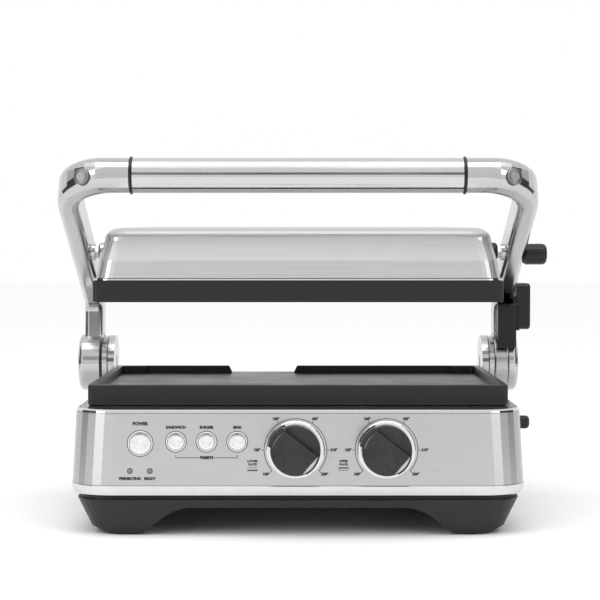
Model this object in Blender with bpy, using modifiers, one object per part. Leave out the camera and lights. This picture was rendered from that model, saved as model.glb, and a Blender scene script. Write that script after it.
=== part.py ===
"""Panini press with a floating cover, hovering above its lower plate.

Every piece is measured in one frame: X across the press, Y from front to back with
Y = 0 on the hinge axis, Z up from the table. One empty, press_frame, then moves the
whole press so that the middle of its overall box stands over the origin.
"""
import math

import bmesh
import bpy
from mathutils import Matrix, Vector

# Overall placing: the levers stand out on the right and the dials at the front.
MID_X = -0.0079
MID_Y = 0.1361

# Body, from the table up.
BODY_HALF_WIDTH = 0.1880
BODY_TOP_HALF_WIDTH = BODY_HALF_WIDTH - 0.0035
BODY_FRONT = -0.2880
BODY_REAR = 0.0240
BODY_CORNER = 0.0350
BODY_REAR_CORNER = 0.0220
PAD_HEIGHT = 0.0045
TUB_BOTTOM_Z = 0.0015
ARCH_Z = 0.0230
TUB_TOP_Z = 0.0296
TRIM_BOTTOM_Z = 0.0325
BAND_BOTTOM_Z = 0.0416
BAND_TOP_Z = 0.1005
DECK_TOP_Z = 0.1035
SHEET = 0.0012
PLASTIC_WALL = 0.0030
FOOT_INNER = BODY_HALF_WIDTH - 0.0610
PAD_X = BODY_HALF_WIDTH - 0.0430
PAD_RADIUS = 0.0090

# Hinge axis and the two plates.
HINGE_Z = 0.1240
PLATE_HALF_WIDTH = BODY_HALF_WIDTH - 0.0122
PLATE_DEPTH = 0.2450
PLATE_REAR = -0.0050
PLATE_FRONT = PLATE_REAR - PLATE_DEPTH
PLATE_CORNER = 0.0035
LOWER_RIM_Z = 0.1210
LOWER_FLOOR_Z = 0.1142
RIM_WIDTH = 0.0060
CORNER_BLOCK = 0.0280
HOVER_GAP = 0.0677
UPPER_PLATE_HALF_WIDTH = PLATE_HALF_WIDTH + 0.0005
UPPER_PLATE_HEIGHT = 0.0185
RIB_PITCH = 0.0170
RIB_GROOVE = 0.0095
ELEMENT_RADIUS = 0.0032

# Hinge hubs.
HUB_RADIUS = 0.0275
BRACKET_INNER = BODY_TOP_HALF_WIDTH - 0.0073
BRACKET_OUTER = BRACKET_INNER + 0.0060
BRACKET_RADIUS = HUB_RADIUS - 0.0013
EYE_INNER = BODY_HALF_WIDTH + 0.0024
HUB_OUTER = EYE_INNER + 0.0215
RING_CAM_RADIUS = HUB_RADIUS - 0.0017
STEP_CAM_OUTER = EYE_INNER + 0.0109
PIN_RADIUS = 0.0060
PIN_END = HUB_OUTER - 0.0044

# Arms, handle and cover.
ARM_INNER = EYE_INNER - 0.0011
ARM_WIDTH = 0.0178
ARM_OUTER = ARM_INNER + ARM_WIDTH
ARM_DEPTH = 0.0320
ARM_ROOT_DEPTH = 0.0260
ARM_SPLAY = 0.0012
ARM_SLOPE = math.radians(26.1)
BEND_Y = 0.0070
BEND_Z = 0.0650
BEND_RADIUS = 0.0240
HANDLE_Y = -0.2135
HANDLE_Z = 0.1730
HANDLE_RADIUS = 0.01495
HANDLE_WALL = 0.0016
RING_X = EYE_INNER - 0.0484
RING_WIDTH = 0.0024
RING_RADIUS = HANDLE_RADIUS + 0.00125
CORNER_RADIUS = 0.0380
CAP_X = EYE_INNER - 0.0072
CAP_RADIUS = 0.0070
PIVOT_Y = -0.1000
PIVOT_Z = 0.1075
PIVOT_RADIUS = 0.0040
COVER_HEIGHT = 0.0432
COVER_CROWN = 0.0014
COVER_HALF_WIDTH = UPPER_PLATE_HALF_WIDTH - 0.0012
COVER_SLOPE = 0.0068
COVER_EDGE = 0.0110
BOSS_RADIUS = 0.0085

# Levers on the right arm: places from the hinge axis.
LEVER_AXIS = (0, 0.0054, 0.0500)
LEVER_PIN_RADIUS = 0.0020
CHEEK_OUTER = ARM_OUTER + 0.0055
TAB_OUTER = ARM_OUTER + 0.0168
LOCK_OUTER = ARM_OUTER + 0.0206

# Front controls.
DIAL_X = (-0.0020, 0.0722)
DIAL_Z = 0.0708
DIAL_RADIUS = 0.0206
DIAL_HEIGHT = 0.0185
DIAL_POINTS_AT = math.radians(128.0)
BEZEL_RADIUS = DIAL_RADIUS + 0.0031
SHAFT_RADIUS = 0.0030
POWER_X = -0.1284
POWER_Z = 0.0761
POWER_RADIUS = 0.00915
PRESET_X = -0.0994
PRESET_PITCH = 0.0250
PRESET_Z = 0.0775
PRESET_RADIUS = 0.00715
LIGHT_RING_WIDTH = 0.0011
LAMP_X = (-0.1369, -0.1206)
LAMP_Z = 0.0536
LAMP_RADIUS = 0.00215
RELEASE_Y = -0.2120
RELEASE_Z = 0.0862
RELEASE_HALF = 0.0057
RELEASE_LENGTH = 0.0253
BUTTON_NAMES = ("power", "preset_1", "preset_2", "preset_3")
BUTTON_BACK = 0.0180
BOARD_Y = BODY_FRONT + 0.0240

# Spout, drip tray and cord gland.
SPOUT_LEFT = -0.0637
SPOUT_RIGHT = -0.0044
TRAY_LEFT = -0.0980
TRAY_RIGHT = 0.0300
TRAY_FRONT = -0.1100
TRAY_Z = 0.0455
TRAY_HEIGHT = 0.0200
GLAND_X = 0.1300
GLAND_Z = 0.0720

# Gaps between pieces.
REST_GAP = 0.0003
RUN_GAP = 0.0005
PIVOT_GAP = 0.0004

FRONT_FACING = (math.radians(90), 0, 0)
OUT_TO_THE_RIGHT = (0, math.radians(90), 0)


def clear_scene():
    """Take out whatever the file opened with."""
    for item in list(bpy.data.objects):
        bpy.data.objects.remove(item, do_unlink=True)


def make_collection(name):
    """A collection linked to the scene."""
    collection = bpy.data.collections.new(name)
    bpy.context.scene.collection.children.link(collection)
    return collection


def make_material(name, colour, roughness, metallic):
    """A Principled material."""
    material = bpy.data.materials.new(name)
    material.use_nodes = True
    shader = material.node_tree.nodes["Principled BSDF"]
    shader.inputs["Base Color"].default_value = (*colour, 1)
    shader.inputs["Roughness"].default_value = roughness
    shader.inputs["Metallic"].default_value = metallic
    material.diffuse_color = (*colour, 1)
    return material


def make_empty(name, parent, location):
    """An empty that carries a frame or a joint axis."""
    empty = bpy.data.objects.new(name, None)
    empty.parent = parent
    empty.location = location
    empty.empty_display_size = 0.02
    PARTS.objects.link(empty)
    return empty


def make_object(name, shape, parent, material=None, location=(0, 0, 0), rotation=(0, 0, 0)):
    """An object for a bmesh: a sub-part with a material, a cutter without one."""
    mesh = bpy.data.meshes.new(name)
    bmesh.ops.recalc_face_normals(shape, faces=shape.faces)
    closed = all(len(edge.link_faces) == 2 for edge in shape.edges)
    if closed and shape.calc_volume(signed=True) < 0:
        bmesh.ops.reverse_faces(shape, faces=shape.faces)
    shape.to_mesh(mesh)
    shape.free()
    piece = bpy.data.objects.new(name, mesh)
    piece.parent = parent
    piece.location = location
    piece.rotation_euler = rotation
    if material:
        mesh.materials.append(material)
        PARTS.objects.link(piece)
    else:
        piece.hide_render = True
        piece.display_type = "WIRE"
        CUTTERS.objects.link(piece)
    return piece


def shade(piece, angle=32):
    """Smooth shading, with real edges kept sharp."""
    piece.data.shade_smooth()
    piece.data.set_sharp_from_angle(angle=math.radians(angle))


def box(low, high):
    """A box between two corners, from a unit cube."""
    low, high = Vector(low), Vector(high)
    shape = bmesh.new()
    bmesh.ops.create_cube(shape, size=1)
    size = Matrix.Diagonal((*(high - low), 1))
    shape.transform(Matrix.Translation((low + high) / 2) @ size)
    return shape


def rod(radius, start, end, axis="Z", segments=32, end_radius=None):
    """A cylinder or cone along one axis, from start to end."""
    shape = bmesh.new()
    bmesh.ops.create_cone(
        shape,
        cap_ends=True,
        segments=segments,
        radius1=radius,
        radius2=radius if end_radius is None else end_radius,
        depth=end - start,
    )
    shape.transform(Matrix.Translation((0, 0, (start + end) / 2)))
    turn = {"X": Matrix.Rotation(math.radians(90), 4, "Y"),
            "Y": Matrix.Rotation(math.radians(-90), 4, "X"),
            "Z": Matrix.Identity(4)}
    shape.transform(turn[axis])
    return shape


def moved(shape, offset):
    """The same shape, shifted."""
    shape.transform(Matrix.Translation(offset))
    return shape


def loft(rings, closed_loop=False):
    """Skin rings of equal count; the ends are capped, or joined in a loop."""
    shape = bmesh.new()
    rows = [[shape.verts.new(point) for point in ring] for ring in rings]
    count = len(rows[0])
    pairs = list(zip(rows, rows[1:]))
    if closed_loop:
        pairs.append((rows[-1], rows[0]))
    for lower, upper in pairs:
        for i in range(count):
            j = (i + 1) % count
            shape.faces.new((lower[i], lower[j], upper[j], upper[i]))
    if not closed_loop:
        shape.faces.new(rows[0])
        shape.faces.new(rows[-1])
    return shape


def rounded_ring(half_width, front, rear, corner, z, rear_corner=None, steps=7):
    """A rounded rectangle, as a ring of points at one height."""
    rear_corner = corner if rear_corner is None else rear_corner
    centres = (
        (half_width - rear_corner, rear - rear_corner, rear_corner, 0),
        (-half_width + rear_corner, rear - rear_corner, rear_corner, 90),
        (-half_width + corner, front + corner, corner, 180),
        (half_width - corner, front + corner, corner, 270),
    )
    ring = []
    for x, y, radius, first in centres:
        for step in range(steps + 1):
            angle = math.radians(first + 90 * step / steps)
            ring.append(Vector((x + radius * math.cos(angle), y + radius * math.sin(angle), z)))
    return ring


def body_ring(z, inset=0.0):
    """The body's own outline at a height, which narrows towards the top."""
    share = min(max((z - BAND_BOTTOM_Z) / (BAND_TOP_Z - BAND_BOTTOM_Z), 0), 1)
    half = BODY_HALF_WIDTH + share * (BODY_TOP_HALF_WIDTH - BODY_HALF_WIDTH) - inset
    return rounded_ring(
        half,
        BODY_FRONT + inset,
        BODY_REAR - inset,
        BODY_CORNER - inset,
        z,
        BODY_REAR_CORNER - inset,
    )


def slab(outline, low, high, axis="X"):
    """A flat outline extruded from low to high along an axis, from a filled 2D curve.

    The outline's first number runs along Y (or X when the axis is Y or Z).
    """
    curve = bpy.data.curves.new("outline", "CURVE")
    curve.dimensions = "2D"
    curve.fill_mode = "BOTH"
    curve.extrude = (high - low) / 2
    spline = curve.splines.new("POLY")
    spline.points.add(len(outline) - 1)
    for point, (a, b) in zip(spline.points, outline):
        point.co = (a, b, 0, 1)
    spline.use_cyclic_u = True
    holder = bpy.data.objects.new("outline", curve)
    bpy.context.scene.collection.objects.link(holder)
    bpy.context.view_layer.update()
    graph = bpy.context.evaluated_depsgraph_get()
    mesh = bpy.data.meshes.new_from_object(holder.evaluated_get(graph))
    shape = bmesh.new()
    shape.from_mesh(mesh)
    bmesh.ops.remove_doubles(shape, verts=shape.verts, dist=1e-6)
    bpy.data.objects.remove(holder)
    bpy.data.meshes.remove(mesh)
    shape.transform(Matrix.Translation((0, 0, (low + high) / 2)))
    turn = {
        "X": Matrix(((0, 0, 1, 0), (1, 0, 0, 0), (0, 1, 0, 0), (0, 0, 0, 1))),
        "Y": Matrix(((1, 0, 0, 0), (0, 0, 1, 0), (0, 1, 0, 0), (0, 0, 0, 1))),
        "Z": Matrix.Identity(4),
    }
    shape.transform(turn[axis])
    return shape


def arc(centre, radius, first, last, steps):
    """Points on an arc, in degrees from the first plane direction to the second."""
    points = []
    for step in range(steps + 1):
        angle = math.radians(first + (last - first) * step / steps)
        points.append((centre[0] + radius * math.cos(angle), centre[1] + radius * math.sin(angle)))
    return points


def rounded_block(corners, start, end, edge, steps=4):
    """A block along X with rounded corners and a rounded far edge."""
    levels = [(start, 0), (end - edge, 0)]
    for step in range(1, steps + 1):
        angle = math.radians(90 * step / steps)
        levels.append((end - edge + edge * math.sin(angle), edge * (1 - math.cos(angle))))
    rings = []
    for x, inset in levels:
        ring = []
        for centre, radius, first, last, count in corners:
            ring += [Vector((x, y, z)) for y, z in arc(centre, radius - inset, first, last, count)]
        rings.append(ring)
    return loft(rings)


def turned(name, profile, parent, material, location, rotation, steps=40, ring=False):
    """A turned piece: a profile of (radius, height), top to bottom, spun by a Screw.

    A ring's profile is closed; any other profile starts and ends on the axis.
    """
    mesh = bpy.data.meshes.new(name)
    points = [(radius, 0, height) for radius, height in profile]
    edges = [(i, i + 1) for i in range(len(points) - 1)]
    if ring:
        edges.append((len(points) - 1, 0))
    mesh.from_pydata(points, edges, [])
    piece = bpy.data.objects.new(name, mesh)
    piece.parent = parent
    piece.location = location
    piece.rotation_euler = rotation
    mesh.materials.append(material)
    PARTS.objects.link(piece)
    screw = piece.modifiers.new("spin", "SCREW")
    screw.steps = steps
    screw.render_steps = steps
    screw.use_merge_vertices = True
    screw.merge_threshold = 0.00001
    screw.use_smooth_shade = True
    return piece


def boolean(piece, other, operation="DIFFERENCE"):
    """An exact Boolean with another object."""
    modifier = piece.modifiers.new(operation.lower(), "BOOLEAN")
    modifier.operation = operation
    modifier.object = other
    modifier.solver = "EXACT"


def cut(piece, shape, name):
    """Cut a shape, given in the piece's parent's frame, out of a piece."""
    cutter = make_object(f"{piece.name}_{name}", shape, piece.parent)
    boolean(piece, cutter)


def join(piece, shape, name):
    """Join a shape, given in the piece's parent's frame, to a piece."""
    other = make_object(f"{piece.name}_{name}", shape, piece.parent)
    boolean(piece, other, "UNION")


def bevel(piece, width, segments=2, angle=40):
    """Rounded edges."""
    modifier = piece.modifiers.new("round", "BEVEL")
    modifier.width = width
    modifier.segments = segments
    modifier.limit_method = "ANGLE"
    modifier.angle_limit = math.radians(angle)


def tube(name, points, radius, parent, material):
    """A round tube through points, bent at each of them."""
    curve = bpy.data.curves.new(name, "CURVE")
    curve.dimensions = "3D"
    curve.bevel_depth = radius
    curve.bevel_resolution = 2
    curve.use_fill_caps = True
    spline = curve.splines.new("POLY")
    spline.points.add(len(points) - 1)
    for point, place in zip(spline.points, points):
        point.co = (*place, 1)
    curve.materials.append(material)
    piece = bpy.data.objects.new(name, curve)
    piece.parent = parent
    PARTS.objects.link(piece)
    return piece


# Body -----------------------------------------------------------------------


def base_tub(frame, material):
    """Dark plastic base: sloping sides, a long foot at each side, an arch between."""
    rear = BODY_REAR - 0.002
    half = BODY_HALF_WIDTH
    rings = [
        rounded_ring(half - 0.0250, BODY_FRONT + 0.0090, rear - 0.008, 0.020, TUB_BOTTOM_Z),
        rounded_ring(half - 0.0165, BODY_FRONT + 0.0070, rear - 0.005, 0.026, TUB_BOTTOM_Z + 0.0040),
        rounded_ring(half - 0.0045, BODY_FRONT + 0.0025, rear - 0.001, 0.033, TUB_TOP_Z - 0.0008, 0.021),
        rounded_ring(half - 0.0052, BODY_FRONT + 0.0032, rear - 0.002, 0.032, TUB_TOP_Z, 0.020),
        body_ring(TUB_TOP_Z, 0.0065),
        body_ring(BAND_BOTTOM_Z, 0.0065),
    ]
    for ring, z in ((rings[4], TUB_TOP_Z + 0.0001), (rings[5], BAND_BOTTOM_Z)):
        for point in ring:
            point.z = z
    tub = make_object("base_tub", loft(rings), frame, material)
    arch = [(-FOOT_INNER - 0.0012, -0.01), (-FOOT_INNER, TUB_BOTTOM_Z), (-FOOT_INNER + 0.0055, 0.0060),
            (-FOOT_INNER + 0.0190, 0.0165), (-FOOT_INNER + 0.0290, 0.0212), (-FOOT_INNER + 0.0370, ARCH_Z)]
    arch = arch + [(-x, z) for x, z in reversed(arch)]
    cut(tub, slab(arch, BODY_FRONT - 0.05, BODY_REAR + 0.05, "Y"), "arch")
    floor_z = ARCH_Z + PLASTIC_WALL
    well = [body_ring(z, 0.0065 + PLASTIC_WALL) for z in (floor_z, BAND_BOTTOM_Z)]
    for ring, z in zip(well, (floor_z, BAND_BOTTOM_Z + 0.01)):
        for point in ring:
            point.z = z
    cut(tub, loft(well), "well")
    for side in (-1, 1):
        ends = sorted((side * (PAD_X - 0.0120), side * (PAD_X + 0.0140)))
        pocket = box((ends[0], BODY_FRONT + 0.028, 0.0085), (ends[1], BODY_REAR - 0.024, floor_z + 0.002))
        cut(tub, pocket, f"foot_pocket_{side}")
    for x in (TRAY_LEFT + 0.012, TRAY_RIGHT - 0.012):
        rail_front, rail_rear = TRAY_FRONT + 0.004, BODY_REAR - 0.012
        rail = box((x - 0.0025, rail_front, floor_z - 0.001), (x + 0.0025, rail_rear, TRAY_Z - REST_GAP))
        join(tub, rail, f"tray_rail_{x:.3f}")
    for x, y, top in board_posts():
        post = moved(rod(0.0030, floor_z - 0.001, top - REST_GAP, "Z", 16), (x, y, 0))
        join(tub, post, f"post_{x:.3f}_{y:.3f}")
    for x, y in pad_places():
        recess = moved(rod(PAD_RADIUS + REST_GAP, -0.01, PAD_HEIGHT + REST_GAP), (x, y, 0))
        cut(tub, recess, f"pad_recess_{x:.3f}_{y:.3f}")
    shade(tub)
    return tub


def board_posts():
    """Posts on the base floor: place and height of each, under the two boards."""
    posts = [(x, y, 0.0450) for x in (0.0620, 0.1265) for y in (-0.1430, -0.0470)]
    posts += [(x, BOARD_Y + 0.0008, 0.0480) for x in (-0.1280, -0.0240, 0.0900)]
    return posts


def pad_places():
    """Where the four rubber pads sit."""
    return [(x, y) for y in (BODY_FRONT + 0.032, BODY_REAR - 0.030) for x in (-PAD_X, PAD_X)]


def foot_pads(frame, material):
    """Rubber pads under the ends of the two feet."""
    names = ("front_left", "front_right", "rear_left", "rear_right")
    for name, (x, y) in zip(names, pad_places()):
        profile = [
            (0, PAD_HEIGHT), (PAD_RADIUS, PAD_HEIGHT), (PAD_RADIUS, 0.0008),
            (PAD_RADIUS - 0.0008, 0), (0, 0),
        ]
        turned(f"foot_pad_{name}", profile, frame, material, (x, y, 0), (0, 0, 0), 24)


def lower_trim(frame, material):
    """Bright trim ring between the base and the steel band."""
    low, high = TRIM_BOTTOM_Z, BAND_BOTTOM_Z - REST_GAP
    outer = [body_ring(low, 0.0030), body_ring(low, 0.0014), body_ring(low, 0.0), body_ring(low, -0.0006)]
    heights = (low, low + 0.0010, low + 0.0045, high - 0.0004)
    rings = []
    for ring, z in zip(outer, heights):
        rings.append([Vector((p.x, p.y, z)) for p in ring])
    for inset, z in ((0.0, high), (0.0056, high), (0.0056, low)):
        rings.append([Vector((p.x, p.y, z)) for p in body_ring(low, inset)])
    trim = make_object("lower_trim", loft(rings, closed_loop=True), frame, material)
    shade(trim)
    return trim


def cut_hub_room(piece):
    """A round notch at each side for the cam rings, which hang lower than the deck."""
    for side in (-1, 1):
        ends = sorted((side * BRACKET_OUTER, side * (BRACKET_OUTER + 0.0168)))
        room = rod(RING_CAM_RADIUS + RUN_GAP, *ends, "X", 48)
        cut(piece, moved(room, (0, 0, HINGE_Z)), f"hub_room_{side}")


def body_band(frame, material):
    """Brushed steel sheet that wraps round the body, with the control openings."""
    heights = (BAND_BOTTOM_Z, (BAND_BOTTOM_Z + BAND_TOP_Z) / 2, BAND_TOP_Z)
    rings = [body_ring(z) for z in heights]
    rings += [body_ring(z, SHEET) for z in reversed(heights)]
    band = make_object("body_band", loft(rings, closed_loop=True), frame, material)
    front = (BODY_FRONT - 0.01, BODY_FRONT + 0.01)
    for index, (x, z, radius) in enumerate(button_places()):
        hole = moved(rod(radius + LIGHT_RING_WIDTH + REST_GAP, *front, "Y", 40), (x, 0, z))
        cut(band, hole, f"button_hole_{index}")
    for index, x in enumerate(LAMP_X):
        hole = moved(rod(LAMP_RADIUS + REST_GAP, *front, "Y", 20), (x, 0, LAMP_Z))
        cut(band, hole, f"lamp_hole_{index}")
    for index, x in enumerate(DIAL_X):
        hole = moved(rod(SHAFT_RADIUS + 0.0012, *front, "Y", 24), (x, 0, DIAL_Z))
        cut(band, hole, f"shaft_hole_{index}")
    reach = (BODY_TOP_HALF_WIDTH - 0.03, BODY_TOP_HALF_WIDTH + 0.02)
    release = moved(rod(RELEASE_HALF + PIVOT_GAP, *reach, "X", 28), (0, RELEASE_Y, RELEASE_Z))
    cut(band, release, "release_hole")
    tray = box(
        (TRAY_LEFT - 0.002, BODY_REAR - 0.01, TRAY_Z - 0.0015),
        (TRAY_RIGHT + 0.002, BODY_REAR + 0.01, TRAY_Z + TRAY_HEIGHT + 0.0015),
    )
    cut(band, tray, "tray_mouth")
    gland = moved(rod(0.0073, BODY_REAR - 0.01, BODY_REAR + 0.01, "Y", 28), (GLAND_X, 0, GLAND_Z))
    cut(band, gland, "gland_hole")
    cut_hub_room(band)
    shade(band)
    return band


def top_deck(frame, material):
    """Polished deck that carries the lower plate, open over the heater."""
    low = BAND_TOP_Z + REST_GAP
    rings = []
    for inset, z in ((0.0, low), (0.0002, DECK_TOP_Z - 0.0011), (0.0018, DECK_TOP_Z)):
        rings.append([Vector((p.x, p.y, z)) for p in body_ring(BAND_TOP_Z, inset)])
    deck = make_object("top_deck", loft(rings), frame, material)
    well = [
        rounded_ring(PLATE_HALF_WIDTH - 0.0190, PLATE_FRONT + 0.018, PLATE_REAR - 0.024, 0.012, z)
        for z in (low - 0.01, DECK_TOP_Z + 0.01)
    ]
    cut(deck, loft(well), "heater_well")
    slot = box((SPOUT_LEFT - 0.002, -0.0020, low - 0.01), (SPOUT_RIGHT + 0.002, 0.0125, 0.12))
    cut(deck, slot, "grease_slot")
    cut_hub_room(deck)
    shade(deck)
    return deck


# Lower plate, heater and grease path ------------------------------------------


def lower_plate(frame, material):
    """Cast flat plate: a raised rim, corner blocks, and a spout in the rear rim."""
    half, front, rear = PLATE_HALF_WIDTH, PLATE_FRONT, PLATE_REAR
    low = DECK_TOP_Z + 0.0004
    outer = [
        rounded_ring(half - 0.0008, front + 0.0008, rear - 0.0008, PLATE_CORNER, low, steps=3),
        rounded_ring(PLATE_HALF_WIDTH, front, PLATE_REAR, PLATE_CORNER, low + 0.0010, steps=3),
        rounded_ring(PLATE_HALF_WIDTH, front, PLATE_REAR, PLATE_CORNER, LOWER_RIM_Z - 0.0008, steps=3),
        rounded_ring(half - 0.0008, front + 0.0008, rear - 0.0008, PLATE_CORNER, LOWER_RIM_Z, steps=3),
    ]
    plate = make_object("lower_plate", loft(outer), frame, material)
    inner = PLATE_HALF_WIDTH - RIM_WIDTH
    pan = [
        rounded_ring(inner - 0.0015 + 0.0022 * step, front + RIM_WIDTH + 0.0015 - 0.0022 * step,
                     PLATE_REAR - RIM_WIDTH - 0.004, 0.0035, LOWER_FLOOR_Z + 0.0090 * step, steps=4)
        for step in (0, 1)
    ]
    cut(plate, loft(pan), "pan")
    block = PLATE_HALF_WIDTH - CORNER_BLOCK
    back = box((-block, PLATE_REAR - 0.03, LOWER_FLOOR_Z), (block, PLATE_REAR - RIM_WIDTH, 0.13))
    cut(plate, back, "pan_back")
    gap = [(SPOUT_LEFT, LOWER_FLOOR_Z), (SPOUT_LEFT - 0.0034, LOWER_RIM_Z), (SPOUT_LEFT - 0.0034, 0.13),
           (SPOUT_RIGHT + 0.0034, 0.13), (SPOUT_RIGHT + 0.0034, LOWER_RIM_Z), (SPOUT_RIGHT, LOWER_FLOOR_Z)]
    cut(plate, slab(gap, PLATE_REAR - 0.015, 0.02, "Y"), "spout_gap")
    heater_bay = [
        rounded_ring(PLATE_HALF_WIDTH - 0.0230, front + 0.022, PLATE_REAR - 0.028, 0.010, z, steps=4)
        for z in (low - 0.01, 0.1090)
    ]
    cut(plate, loft(heater_bay), "heater_bay")
    tongue = box((SPOUT_LEFT, PLATE_REAR - 0.004, 0.1085), (SPOUT_RIGHT, 0.0060, LOWER_FLOOR_Z))
    join(plate, tongue, "spout_tongue")
    shade(plate)
    return plate


def heater_path(half_width, front, rear, z, passes=4, bend=0.018):
    """A serpentine of straight runs from side to side, joined by round bends."""
    pitch = (rear - front) / (passes - 1)
    bend = min(bend, pitch / 2)
    points = []
    for run in range(passes):
        side = 1 if run % 2 == 0 else -1
        y = rear - run * pitch
        points.append(Vector((-side * (half_width - bend), y, z)))
        points.append(Vector((side * (half_width - bend), y, z)))
        if run < passes - 1:
            for step in range(1, 6):
                angle = math.radians(90 - 30 * step)
                reach = pitch / 2
                points.append(Vector((
                    side * (half_width - bend + bend * math.cos(angle)),
                    y - reach + reach * math.sin(angle),
                    z,
                )))
    return points


def lower_heater(frame, material):
    """Sheathed heating element under the lower plate."""
    path = heater_path(PLATE_HALF_WIDTH - 0.0350, PLATE_FRONT + 0.0350, PLATE_REAR - 0.0420, 0.1048)
    return tube("lower_element", path, ELEMENT_RADIUS, frame, material)


def pan_shield(name, parent, material, half_width, front, rear, low, high, thickness=0.0008):
    """A shallow sheet pan: an open surface with Solidify."""
    shape = bmesh.new()
    rings = [
        rounded_ring(half_width, front, rear, 0.012, high, steps=4),
        rounded_ring(half_width, front, rear, 0.012, low + 0.001, steps=4),
        rounded_ring(half_width - 0.001, front + 0.001, rear - 0.001, 0.011, low, steps=4),
    ]
    rows = [[shape.verts.new(point) for point in ring] for ring in rings]
    count = len(rows[0])
    for upper, lower in zip(rows, rows[1:]):
        for i in range(count):
            j = (i + 1) % count
            shape.faces.new((upper[j], upper[i], lower[i], lower[j]))
    shape.faces.new(rows[-1])
    pan = make_object(name, shape, parent, material)
    solid = pan.modifiers.new("sheet", "SOLIDIFY")
    solid.thickness = thickness
    solid.offset = -1
    solid.use_even_offset = True
    shade(pan)
    return pan


def grease_chute(frame, material):
    """Short duct that leads grease from the deck's slot down to the tray."""
    rings = []
    for inset, heights in ((0.0, (0.0690, BAND_TOP_Z)), (0.0010, (BAND_TOP_Z, 0.0690))):
        for z in heights:
            left, right = SPOUT_LEFT - 0.006 + inset, SPOUT_RIGHT + 0.006 - inset
            middle, half = (left + right) / 2, (right - left) / 2
            ring = rounded_ring(half, -0.0035 + inset, 0.0150 - inset, 0.0020, z, steps=2)
            rings.append([Vector((p.x + middle, p.y, p.z)) for p in ring])
    return make_object("grease_chute", loft(rings, closed_loop=True), frame, material)


def drip_tray(parent, material):
    """Tray that slides out at the back, with a face plate and a finger lip."""
    wall = 0.0015
    inner_rear = BODY_REAR - SHEET - 0.001
    tray = make_object(
        "drip_tray",
        box((TRAY_LEFT, TRAY_FRONT, TRAY_Z), (TRAY_RIGHT, inner_rear + 0.004, TRAY_Z + TRAY_HEIGHT)),
        parent,
        material,
    )
    cut(tray, box((TRAY_LEFT + wall, TRAY_FRONT + wall, TRAY_Z + wall),
                  (TRAY_RIGHT - wall, inner_rear - wall, TRAY_Z + 0.05)), "bowl")
    face_y = BODY_REAR + PIVOT_GAP
    face = box((TRAY_LEFT - 0.004, face_y, TRAY_Z - 0.0030),
               (TRAY_RIGHT + 0.004, face_y + 0.0030, TRAY_Z + TRAY_HEIGHT + 0.0035))
    join(tray, face, "face")
    middle = (TRAY_LEFT + TRAY_RIGHT) / 2
    lip_low = (middle - 0.025, face_y + 0.0015, TRAY_Z + 0.0130)
    lip = box(lip_low, (middle + 0.025, face_y + 0.0120, TRAY_Z + 0.0165))
    join(tray, lip, "lip")
    return tray


def cord_gland(frame, material):
    """Flanged bush in the rear wall, where the mains cord enters."""
    profile = [
        (0.0100, 0.0030), (0.0100, 0.0003), (0.0070, 0.0003), (0.0070, -0.0080),
        (0.0038, -0.0080), (0.0038, 0.0045), (0.0062, 0.0045), (0.0080, 0.0030),
    ]
    place = (GLAND_X, BODY_REAR, GLAND_Z)
    return turned("cord_gland", profile, frame, material, place, (math.radians(-90), 0, 0), 28, ring=True)


# Controls ---------------------------------------------------------------------


def button_places():
    """Centre and cap radius of the power button and the three presets."""
    places = [(POWER_X, POWER_Z, POWER_RADIUS)]
    for index in range(3):
        places.append((PRESET_X + index * PRESET_PITCH, PRESET_Z, PRESET_RADIUS))
    return places


def buttons(frame, steel, light):
    """Round steel buttons on stems, each in a translucent light ring."""
    for name, (x, z, radius) in zip(BUTTON_NAMES, button_places()):
        place = (x, BODY_FRONT, z)
        cap = [
            (0, 0.0008), (radius - 0.0022, 0.0009), (radius - 0.0005, 0.0006), (radius - PIVOT_GAP, 0.0001),
            (radius - PIVOT_GAP, -0.0080), (0.0030, -0.0080), (0.0030, -BUTTON_BACK), (0, -BUTTON_BACK),
        ]
        turned(f"{name}_button", cap, frame, steel, place, FRONT_FACING, 32)
        outer = radius + LIGHT_RING_WIDTH
        ring = [
            (outer - 0.0003, 0.0005), (outer, 0.0002), (outer, -0.0060),
            (radius, -0.0060), (radius, 0.0002),
            (radius + 0.0003, 0.0005),
        ]
        turned(f"{name}_light_ring", ring, frame, light, place, FRONT_FACING, 28, ring=True)


def lamps(frame, material):
    """Two small indicator lamps."""
    for name, x in zip(("preheat", "ready"), LAMP_X):
        profile = [
            (0, 0.0007), (0.0011, 0.0005), (0.0018, 0.0002), (LAMP_RADIUS, -0.0003),
            (LAMP_RADIUS, -0.0080), (0, -0.0080),
        ]
        turned(f"{name}_lamp", profile, frame, material, (x, BODY_FRONT, LAMP_Z), FRONT_FACING, 20)


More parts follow.
